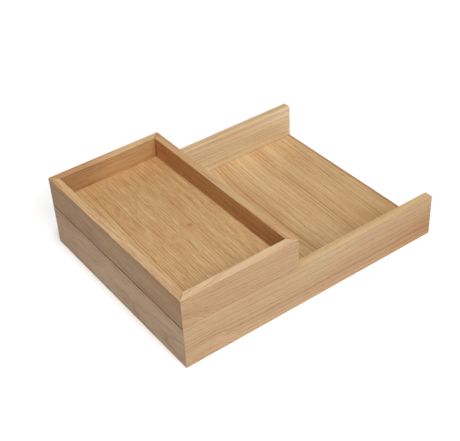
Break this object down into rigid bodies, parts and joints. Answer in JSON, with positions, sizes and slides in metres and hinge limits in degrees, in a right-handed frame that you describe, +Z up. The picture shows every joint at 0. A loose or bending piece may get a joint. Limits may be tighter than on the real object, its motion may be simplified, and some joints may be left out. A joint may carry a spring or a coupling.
{
  "type": "drawer organizer insert",
  "caption": "Oak drawer organizer insert: an open-ended box with a floor, and a shallow mitred tray that slides along the top of its walls.",
  "frame": {"origin": "on the ground, at the middle of the footprint", "axes": "+X from the closed end to the open end, +Y from front to back, +Z up"},
  "size_m": [0.42, 0.324, 0.112],
  "materials": {
    "solid_oak": "matt oiled oak",
    "oak_veneer": "matt oiled oak veneer",
    "beech": "bare beech",
    "zinc_plated_steel": "zinc plated"
  },
  "bodies": {
    "base": {"base_front_wall": "solid_oak", "base_back_wall": "solid_oak", "base_left_wall": "solid_oak", "base_floor_panel": "oak_veneer", "base_floor_lipping": "solid_oak", "base_tenon_front_left": "beech", "base_tenon_back_left": "beech"},
    "tray": {"tray_front_wall": "solid_oak", "tray_back_wall": "solid_oak", "tray_left_wall": "solid_oak", "tray_right_wall": "solid_oak", "tray_floor_panel": "oak_veneer", "tray_tenon_front_left": "beech", "tray_tenon_front_right": "beech", "tray_tenon_back_left": "beech", "tray_tenon_back_right": "beech", "tray_guide_front": "solid_oak", "tray_guide_back": "solid_oak", "guide_screw_front_1": "zinc_plated_steel", "guide_screw_front_2": "zinc_plated_steel", "guide_screw_front_3": "zinc_plated_steel", "guide_screw_back_1": "zinc_plated_steel", "guide_screw_back_2": "zinc_plated_steel", "guide_screw_back_3": "zinc_plated_steel"}
  },
  "joints": [
    {"name": "tray_slide", "type": "slide", "parent": "base", "child": "tray", "axis": [1, 0, 0], "range_m": [0, 0.24]}
  ]
}
